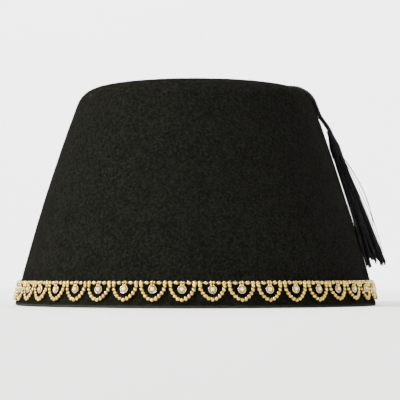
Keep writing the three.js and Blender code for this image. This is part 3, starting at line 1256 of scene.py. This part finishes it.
def threadLine(dice, root, foot, start, end, bow=0.0):
    # one thread from inside the head to its end, spreading steadily and wavering a little
    phase, waver = dice.uniform(0, fullTurn), dice.uniform(tassel["leastWaver"], tassel["mostWaver"]) * mm
    line = []
    for step in range(tassel["threadSteps"] + 1):
        share = step / tassel["threadSteps"]
        part = share ** tassel["spread"]
        swing = waver * math.sin(phase + share * tassel["acrossWaves"]) * share
        lift = tassel["outWaver"] * waver * math.cos(phase + share * tassel["outWaves"]) * share
        across = root[0] + (foot[0] - root[0]) * part + swing
        out = root[1] + (foot[1] - root[1]) * part + lift + bow * math.sin(math.pi * share)
        out = max(out, tassel["gap"] + tassel["thread"] * tassel["leastLift"])
        line.append(tasselPlace(across, out, start + (end - start) * share))
    return line


def fringeLines():
    dice = random.Random(tassel["seed"])
    start = tassel["headLength"] - tassel["rootDepth"]
    ragged = tassel["raggedness"]
    lines = []
    for bundle in bundleFeet:
        bundleAcross, bundleOut = footPlace(bundle)
        bundleEnd = tassel["length"] - dice.uniform(0, ragged)
        for thread in range(tassel["threadsPerBundle"]):
            spot = fullTurn * dice.random()
            nearAcross, nearOut = polar(tassel["bundleSpread"] * math.sqrt(dice.random()), spot)
            lean = math.atan2(bundle["out"] - tassel["rootMiddle"], bundle["across"] * tassel["rootFlatness"])
            rootTurn = lean + dice.uniform(-tassel["rootTurn"], tassel["rootTurn"])
            rootAcross, rootOut = polar(tassel["rootReach"] * dice.uniform(tassel["rootLeast"], 1), rootTurn)
            foot = bundleAcross + nearAcross, bundleOut + nearOut * tassel["bundleFlatness"]
            end = bundleEnd - dice.uniform(0, ragged * tassel["threadRaggedness"])
            lines.append(threadLine(dice, (rootAcross, headMiddle + rootOut), foot, start, end))
    return lines


def strayLines():
    dice = random.Random(tassel["seed"] + 1)
    start = tassel["headLength"] - tassel["strayDepth"]
    lines = []
    for row in strayThreads:
        rootOut = headMiddle + tassel["rootReach"] * (row["out"] - tassel["strayRoot"])
        root = row["across"] * tassel["rootReach"], rootOut
        lines.append(threadLine(dice, root, footPlace(row), start, row["end"] * mm, row["bow"] * mm))
    return lines


def makeTassel():
    grown = []
    for name, lines, thread in (
        ("headWrap", [headLine()], "wrapThread"),
        ("fringe", fringeLines(), "thread"),
        ("strays", strayLines(), "strayThread"),
    ):
        grown.append(growPiece(name, linesObject(name + "Lines", lines), cordTree, {
            "Thickness": tassel[thread], "Sides": tassel[thread + "Sides"], "Material": blackRayon}))
    head = joinPieces("tasselHead", [grown[0], headCore()])
    fringe = joinPieces("tasselFringe", grown[1:])
    for piece in (head, fringe):
        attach(piece, "root")
        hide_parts("tassel")
    return head, fringe


tasselHead, tasselFringe = makeTassel()
print("tassel", len(tasselHead.data.polygons) + len(tasselFringe.data.polygons), "faces")


# Stage: a pale round floor that curves up into its own backdrop, and soft lights
stage = {
    "middle": 0.4,               # radius of a ring that splits the flat floor
    "floor": 1.9,
    "sink": 0.3 * mm,            # of the floor below the rim, so that they don't share a plane
    "curve": 0.7,
    "curveRows": 12,
    "wall": 1.6,
    "sides": 96,
    "colour": (0.93, 0.93, 0.93),
    "roughness": 0.9,
    "air": (0.95, 0.97, 1, 1),
    "airStrength": 0.25,
}

lamps = [
    {"name": "keyLight", "at": (-1.1, -0.82, 1.05), "aim": (0, 0, 0.06), "size": 0.6, "watts": 79,
     "colour": (1, 0.97, 0.93)},
    {"name": "fillLight", "at": (1.3, -0.9, 0.5), "aim": (0, 0, 0.05), "size": 0.9, "watts": 0.8,
     "colour": (0.95, 0.97, 1)},
    {"name": "topLight", "at": (0.1, 0.6, 1.5), "aim": (0, -0.1, 0), "size": 0.9, "watts": 30,
     "colour": (1, 1, 1)},
    {"name": "leftBackdrop", "at": (-0.8, 1.5, 1.3), "aim": (0, 2.6, 0.3), "size": 1, "watts": 42,
     "colour": (1, 1, 1)},
    {"name": "rightBackdrop", "at": (0.8, 1.5, 1.3), "aim": (0, 2.6, 0.3), "size": 1, "watts": 42,
     "colour": (1, 1, 1)},
]


def makeStage():
    floor, curve = stage["floor"], stage["curve"]
    outline = [(0, -stage["sink"]), (stage["middle"], -stage["sink"]), (floor, -stage["sink"])]
    for row in range(1, stage["curveRows"] + 1):
        up, across = polar(curve, math.pi / 2 * row / stage["curveRows"])
        outline.append((floor + across, curve - up))
    outline.append((floor + curve, curve + stage["wall"]))
    paper, shader = newMaterial("palePaper", stage["colour"], Roughness=stage["roughness"])
    piece = turnedMesh("floor", outline, stage["sides"], paper)


def makeLights():
    for lamp in lamps:
        data = bpy.data.lights.new(lamp["name"], "AREA")
        data.shape = "DISK"
        data.size = lamp["size"]
        data.energy = lamp["watts"]
        data.color = lamp["colour"]
        light = addObject(lamp["name"], data)
        light.location = lamp["at"]
        light.rotation_mode = "QUATERNION"
        light.rotation_quaternion = (Vector(lamp["aim"]) - light.location).to_track_quat("-Z", "Y")
    world = bpy.data.worlds.new("softRoom")
    world.use_nodes = True
    air = world.node_tree.nodes["Background"].inputs
    air["Color"].default_value = stage["air"]
    air["Strength"].default_value = stage["airStrength"]
    bpy.context.scene.world = world


makeStage()
makeLights()
print("stage and lights ready")
